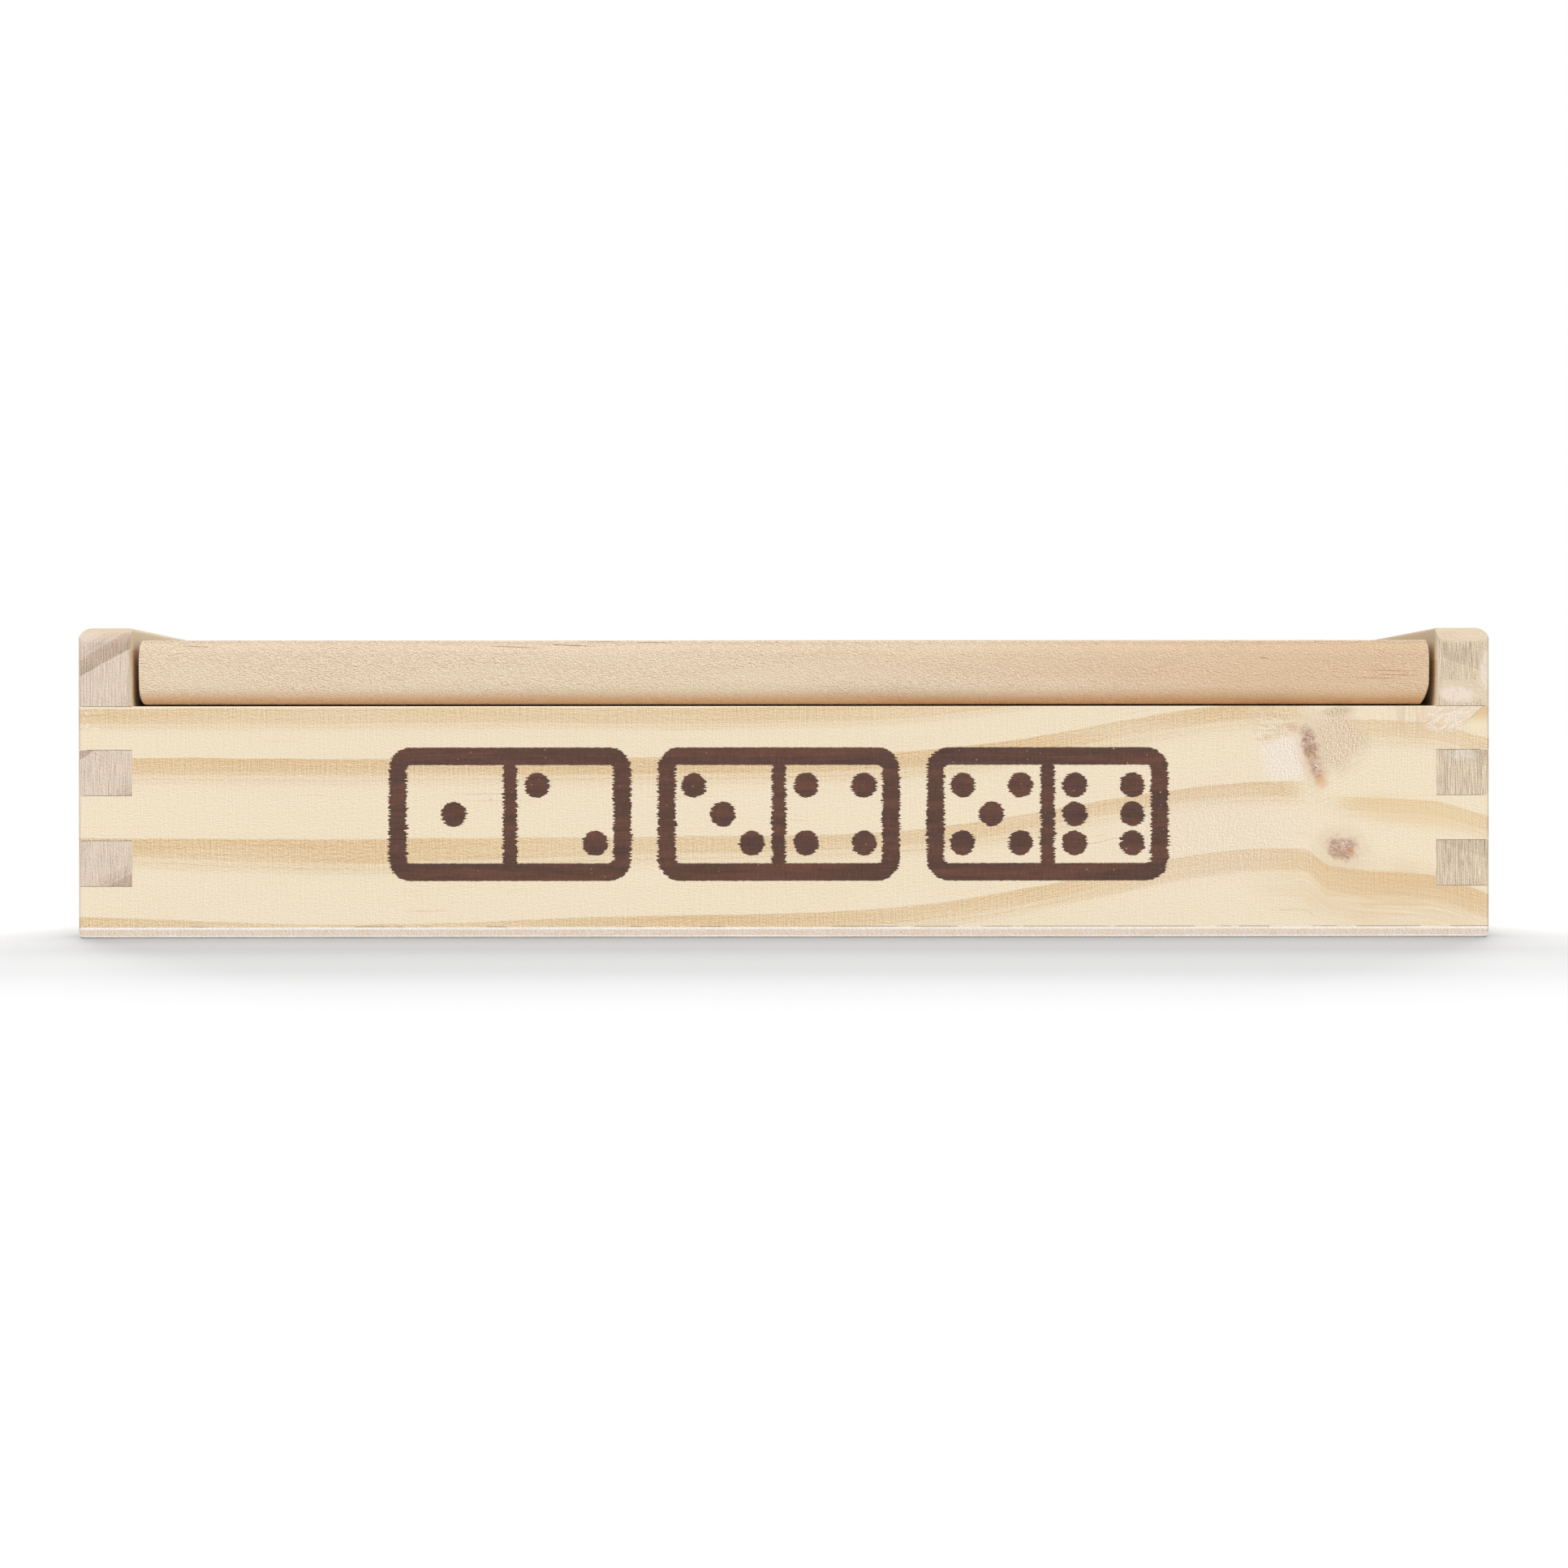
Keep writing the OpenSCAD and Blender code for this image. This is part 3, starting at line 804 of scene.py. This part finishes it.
def skin(name, rings, material):
    """An object from a stack of closed rings, an array of (ring, point, xyz) in metres.
    Neighbouring rings are joined by quads, and each end is closed by a fan to the middle of
    its last ring. The points run round so that the faces look outwards."""
    count, points = rings.shape[:2]
    poles = rings[[0, -1]].mean(axis=1)
    vertices = np.vstack([rings.reshape(-1, 3), poles])
    index = np.arange(count * points).reshape(count, points)
    following = np.roll(index, -1, axis=1)
    quads = np.stack([index[:-1], following[:-1], following[1:], index[1:]], axis=-1).reshape(-1, 4)
    first, last = count * points, count * points + 1
    fans = np.vstack([
        np.stack([following[0], index[0], np.full(points, first)], axis=-1),
        np.stack([index[-1], following[-1], np.full(points, last)], axis=-1),
    ])
    mesh = bpy.data.meshes.new(name)
    mesh.from_pydata(vertices.tolist(), [], quads.tolist() + fans.tolist())
    mesh.shade_smooth()
    mesh.validate()
    mesh.materials.append(material)
    made = bpy.data.objects.new(name, mesh)
    bpy.context.scene.collection.objects.link(made)
    return made


def rounded_outline(low, high, radii, points):
    """Points evenly spaced round a rectangle from low to high (y, z) with a quarter circle
    of its own radius at each corner: lower back, upper back, upper front, lower front.
    They also come with the way outwards at each."""
    turns = np.radians(np.array([-90, 0, 90, 180]))[:, None] + np.linspace(0, math.pi / 2, 24)
    corners = np.array([[high[0], low[1]], [high[0], high[1]], [low[0], high[1]], [low[0], low[1]]])
    inward = np.array([[-1, 1], [-1, -1], [1, -1], [1, 1]])
    radii = np.asarray(radii)[:, None]
    centres = corners + inward * radii
    ways = np.stack([np.cos(turns), np.sin(turns)], axis=-1)
    path = (centres[:, None] + radii[..., None] * ways).reshape(-1, 2)
    ways = ways.reshape(-1, 2)
    closed = np.vstack([path, path[:1]])
    closed_ways = np.vstack([ways, ways[:1]])
    reach = np.concatenate([[0], np.cumsum(np.linalg.norm(np.diff(closed, axis=0), axis=1) + 1e-9)])
    even = np.linspace(0, reach[-1], points, endpoint=False)
    outline = np.stack([np.interp(even, reach, closed[:, axis]) for axis in (0, 1)], axis=-1)
    outward = np.stack([np.interp(even, reach, closed_ways[:, axis]) for axis in (0, 1)], axis=-1)
    return outline, outward / np.linalg.norm(outward, axis=1, keepdims=True)


def lid_rings():
    """The lid as one closed skin of rings in the YZ plane. From each end inwards: the floor
    and wall of the dowel's hole, the end face, which spreads from the hole's circle to the
    lid's outline, and its rounded edge. Along the lid the outline is carried straight, with
    the radius of its long edges, its thickness and its front face wavering by slow sines."""
    points, hole_r, hole_depth = 160, 2.08 * MM, 9.2 * MM
    low, high = (LID_LOW.y, LID_LOW.z), (LID_HIGH.y, LID_HIGH.z)
    tight, outward = rounded_outline(low, high, [2.2 * MM, 2.2 * MM, 1.0 * MM, 1.9 * MM], points)
    loose, _ = rounded_outline(low, high, [2.3 * MM, 2.3 * MM, 1.6 * MM, 2.5 * MM], points)
    half_length = (LID_HIGH.x - LID_LOW.x) / 2
    pivot = np.array(PIVOT[1:])

    def end_bulge(outline):
        """How far the end face falls back: a shallow arc over the lid's thickness."""
        away = (outline[:, 1] - (low[1] + high[1]) / 2) / ((high[1] - low[1]) / 2)
        return 0.35 * MM * away**4

    height_share = (tight[:, 1] - low[1]) / (high[1] - low[1])
    edge_r = (0.4 - 0.3 * np.clip(height_share * 1.6, 0, 1))[:, None] * MM
    direction = tight - pivot
    circle = pivot + hole_r * direction / np.linalg.norm(direction, axis=1, keepdims=True)
    inner = tight - edge_r * outward
    sections = []
    for depth, share in ((hole_depth, 0.5), (hole_depth, 1.0), (0.6 * MM, 1.0), (0.15 * MM, 1.0)):
        sections.append((pivot + share * (circle - pivot), np.full(points, half_length - depth)))
    for share in np.linspace(0, 1, 14):
        outline = circle * (1 - share) + inner * share
        outline = pivot + (outline - pivot) * (1 + 0.02 * (share == 0))
        sections.append((outline, half_length - end_bulge(outline)))
    for turn in np.linspace(0, math.pi / 2, 9)[1:]:
        outline = inner + edge_r * outward * math.sin(turn)
        fall = edge_r[:, 0] * (1 - math.cos(turn))
        sections.append((outline, half_length - end_bulge(tight) - fall))
    cap = np.array([np.column_stack([x, outline]) for outline, x in sections])

    along = np.linspace(-half_length + 1.3 * MM, half_length - 1.3 * MM, 150)
    phase = along / MM
    blend = 0.5 + 0.3 * np.sin(phase / 23 + 1) + 0.2 * np.sin(phase / 7.7)
    fade = np.clip((half_length - np.abs(along)) / (9 * MM), 0, 1)
    blend = (blend * fade)[:, None, None]
    outline = tight * (1 - blend) + loose * blend
    hollow = 0.10 * MM * (1 - (along / half_length) ** 2) + 0.02 * MM * np.sin(phase / 9) * fade
    top = np.clip(height_share * 2 - 1, 0, 1)
    outline[:, :, 1] -= hollow[:, None] * top
    front = np.clip(outward[:, 0] * -1, 0, 1)
    outline[:, :, 0] += (0.03 * MM * (1 + np.sin(phase / 13 + 2)) * fade)[:, None] * front
    body = np.concatenate([np.repeat(along[:, None, None], points, 1), outline], axis=2)
    mirrored = cap * np.array([-1, 1, 1])
    # The right end is worn off at its lower front
    rise = np.clip((cap[:, :, 2] - low[1]) / (2.6 * MM), 0, 1)
    depth = np.clip((cap[:, :, 1] - low[0]) / (14 * MM), 0, 1)
    face = np.clip((cap[:, :, 0] - half_length + 1.3 * MM) / MM, 0, 1)
    cap[:, :, 0] -= 0.6 * MM * (1 - rise) * (1 - depth) * face
    return np.concatenate([mirrored, body, cap[::-1]])


# --- Operators ---


def need(condition, message):
    """Stops the script with a message where an operator can't finish."""
    if not condition:
        raise RuntimeError(message)


class DOMINO_OT_lid(bpy.types.Operator):
    """Make the lid with its worn edges and its hardwood"""

    bl_idname = "domino.lid"
    bl_label = "Lid"

    def execute(self, context):
        need(LID_HIGH.x > LID_LOW.x, "The lid has no length.")
        board = skin("lid_board", lid_rings(), lid_hardwood())
        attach(board, "lid")
        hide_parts("lid")
        return {"FINISHED"}


class DOMINO_OT_long_boards(bpy.types.Operator):
    """Finish the printed front board and the plain back board in pine"""

    bl_idname = "domino.long_boards"
    bl_label = "Front and back boards"

    def execute(self, context):
        dress("front_board", front_pine())
        dress("back_board", back_pine())
        return {"FINISHED"}


class DOMINO_OT_end_boards(bpy.types.Operator):
    """Finish the two end boards in pine with sawn end grain"""

    bl_idname = "domino.end_boards"
    bl_label = "End boards"

    def execute(self, context):
        left, right = CAD_LOW.x / MM, CAD_HIGH.x / MM
        greys = (colours().end_pale, colours().end_band, 1.0, 1.1)
        tans = (colours().tan_pale, colours().tan_band, 0.35, 1.5)
        marks = (RIGHT_SMOOTH, RIGHT_TORN_AND_HIGHLIGHT)
        grey_wood = end_board_pine("pine_left_end", *greys, left, 0.61, 35.0, 10.9, [], [], 100)
        dress("left_end_board", grey_wood)
        tan_wood = end_board_pine("pine_right_end", *tans, right, -0.35, 35.5, 12.5, *marks, 130)
        dress("right_end_board", tan_wood)
        return {"FINISHED"}


class DOMINO_OT_plywood(bpy.types.Operator):
    """Finish the three plies of the bottom"""

    bl_idname = "domino.plywood"
    bl_label = "Plywood bottom"

    def execute(self, context):
        dress("bottom_face_ply", ply_veneer("ply_lower_face", "ply_face", "X", 160))
        dress("bottom_core_ply", ply_veneer("ply_core", "ply_core", "Y", 170))
        dress("bottom_inner_ply", ply_veneer("ply_upper_face", "ply_face", "X", 180))
        return {"FINISHED"}


class DOMINO_OT_dowels(bpy.types.Operator):
    """Finish the two pivot dowels"""

    bl_idname = "domino.dowels"
    bl_label = "Pivot dowels"

    def execute(self, context):
        material = dowel_end()
        for side in ("left", "right"):
            dress(f"{side}_pivot_dowel", material)
        return {"FINISHED"}


class DOMINO_OT_studio(bpy.types.Operator):
    """Make the pale floor, the soft lights and the camera"""

    bl_idname = "domino.studio"
    bl_label = "Studio"

    def execute(self, context):
        studio_lights(studio_floor())
        studio_camera()
        return {"FINISHED"}


# How pale the floor looks to the camera and to the box, and how bright the world is to the box
FLOOR_GREY = 0.4
FLOOR_BOUNCE = 0.12
WORLD_LIGHT = 0.16

# Each soft light's name, azimuth (0 from the front, 180 from behind) and elevation in degrees,
# spread in degrees, and share of full light on what faces it
BOX_LIGHTS = [
    ("left_light", -36, 22, 44, 0.55),
    ("right_light", 34, 22, 44, 0.55),
    ("back_light", 165, 32, 40, 0.45),
]
FLOOR_LIGHTS = [
    ("floor_left_light", 194, 17, 14, 1.1),
    ("floor_right_light", 166, 17, 14, 1.1),
    ("floor_back_light", 180, 38, 22, 0.63),
    ("floor_high_light", 180, 72, 24, 0.4),
    ("floor_top_light", 180, 88, 14, 0.62),
    ("floor_front_light", 0, 80, 16, 0.38),
]


def studio_floor():
    """A wide, flat floor. It looks paler to the camera than it is to the box, so that little
    light comes up from it."""
    half = 3.0
    grid = np.linspace(-half, half, 3)
    x, y = np.meshgrid(grid, grid)
    vertices = np.column_stack([x.ravel(), y.ravel(), np.zeros(x.size)])
    corner = np.array([0, 1, 3, 4])
    faces = np.stack([corner, corner + 1, corner + 4, corner + 3], axis=-1)
    mesh = bpy.data.meshes.new("floor")
    mesh.from_pydata(vertices.tolist(), [], faces.tolist())
    material = bpy.data.materials.new("pale_floor")
    nodes = Nodes(material)
    seen = nodes.node("ShaderNodeLightPath").outputs["Is Camera Ray"]
    grey = nodes.node("ShaderNodeMapRange", {"Value": seen, "To Min": FLOOR_BOUNCE, "To Max": FLOOR_GREY})
    diffuse = nodes.node("ShaderNodeBsdfDiffuse", (grey.outputs[0],))
    nodes.node("ShaderNodeOutputMaterial", (diffuse.outputs[0],))
    mesh.materials.append(material)
    floor = bpy.data.objects.new("floor", mesh)
    bpy.context.scene.collection.objects.link(floor)
    return floor


def aim(thing, target):
    """Turns a light or camera, which looks down its own -Z, towards a place."""
    way = Vector(target) - thing.location
    thing.rotation_euler = way.to_track_quat("-Z", "Y").to_euler()


def studio_lights(floor):
    """Soft lights in a pale world that the camera sees as white. The box and the floor have
    lights of their own: those for the floor come from behind, so that its soft shadow lies
    in front of the box, and leave it white further off."""
    for lights, state in ((BOX_LIGHTS, "EXCLUDE"), (FLOOR_LIGHTS, "INCLUDE")):
        receivers = bpy.data.collections.new(f"floor_{state.lower()}d")
        receivers.objects.link(floor)
        receivers.collection_objects[0].light_linking.link_state = state
        for name, azimuth, elevation, spread, share in lights:
            lamp = bpy.data.lights.new(name, "SUN")
            lamp.angle = math.radians(spread)
            lamp.energy = math.pi * share
            holder = bpy.data.objects.new(name, lamp)
            turn, rise = math.radians(azimuth), math.radians(elevation)
            flat = math.cos(rise)
            holder.location = (math.sin(turn) * flat, -math.cos(turn) * flat, math.sin(rise))
            aim(holder, (0, 0, 0))
            holder.light_linking.receiver_collection = receivers
            bpy.context.scene.collection.objects.link(holder)
    world = bpy.data.worlds.new("white_room")
    nodes = Nodes(world)
    path = nodes.node("ShaderNodeLightPath").outputs
    seen = nodes.math("MAXIMUM", path["Is Camera Ray"], path["Is Glossy Ray"])
    strength = nodes.node("ShaderNodeMapRange", {"Value": seen, "To Min": WORLD_LIGHT, "To Max": 1.0})
    ground = nodes.node("ShaderNodeBackground", ((1, 1, 1), strength.outputs[0]))
    nodes.node("ShaderNodeOutputWorld", (ground.outputs[0],))
    bpy.context.scene.world = world


# Where the camera stands along the box, its aim's offset to the right and up, and its roll
CAMERA_SIDE = -5 * MM
AIM_OFFSET = (-0.12 * MM, -0.2 * MM)
CAMERA_ROLL = math.radians(-0.04)


def studio_camera():
    """A level camera in front of the box, a little left of its middle, aimed at the front."""
    data = bpy.data.cameras.new("camera")
    front = Vector((AIM_OFFSET[0], CAD_LOW.y, (CAD_LOW.z + CAD_HIGH.z) / 2 + AIM_OFFSET[1]))
    data.lens = data.sensor_width * sizes().camera_gap / sizes().view_width
    data.clip_start = 0.01
    holder = bpy.data.objects.new("camera", data)
    holder.location = (CAMERA_SIDE, CAD_LOW.y - sizes().camera_gap, sizes().camera_height)
    aim(holder, front)
    holder.rotation_euler.rotate_axis("Z", CAMERA_ROLL)
    bpy.context.scene.collection.objects.link(holder)
    bpy.context.scene.camera = holder
    bpy.context.scene.view_settings.view_transform = "Standard"


class DOMINO_PT_box(bpy.types.Panel):
    """Lists the box's pieces, sizes and colours"""

    bl_idname = "DOMINO_PT_box"
    bl_label = "Domino box"
    bl_space_type = "VIEW_3D"
    bl_region_type = "UI"
    bl_category = "Domino box"

    def draw(self, context):
        for operator in OPERATORS:
            self.layout.operator(operator.bl_idname)
        for group in (context.scene.domino_sizes, context.scene.domino_colours):
            column = self.layout.column()
            for name in group.__annotations__:
                column.prop(group, name)


OPERATORS = (
    DOMINO_OT_studio,
    DOMINO_OT_long_boards,
    DOMINO_OT_end_boards,
    DOMINO_OT_plywood,
    DOMINO_OT_dowels,
    DOMINO_OT_lid,
)
CLASSES = (BoxColours, BoxSizes, *OPERATORS, DOMINO_PT_box)


def register():
    for item in CLASSES:
        bpy.utils.register_class(item)
    bpy.types.Scene.domino_colours = PointerProperty(type=BoxColours)
    bpy.types.Scene.domino_sizes = PointerProperty(type=BoxSizes)


def unregister():
    del bpy.types.Scene.domino_sizes
    del bpy.types.Scene.domino_colours
    for item in reversed(CLASSES):
        bpy.utils.unregister_class(item)


def main():
    register()
    bpy.ops.domino.studio()
    bpy.ops.domino.long_boards()
    bpy.ops.domino.end_boards()
    bpy.ops.domino.plywood()
    bpy.ops.domino.dowels()
    bpy.ops.domino.lid()


if __name__ == "__main__":
    main()
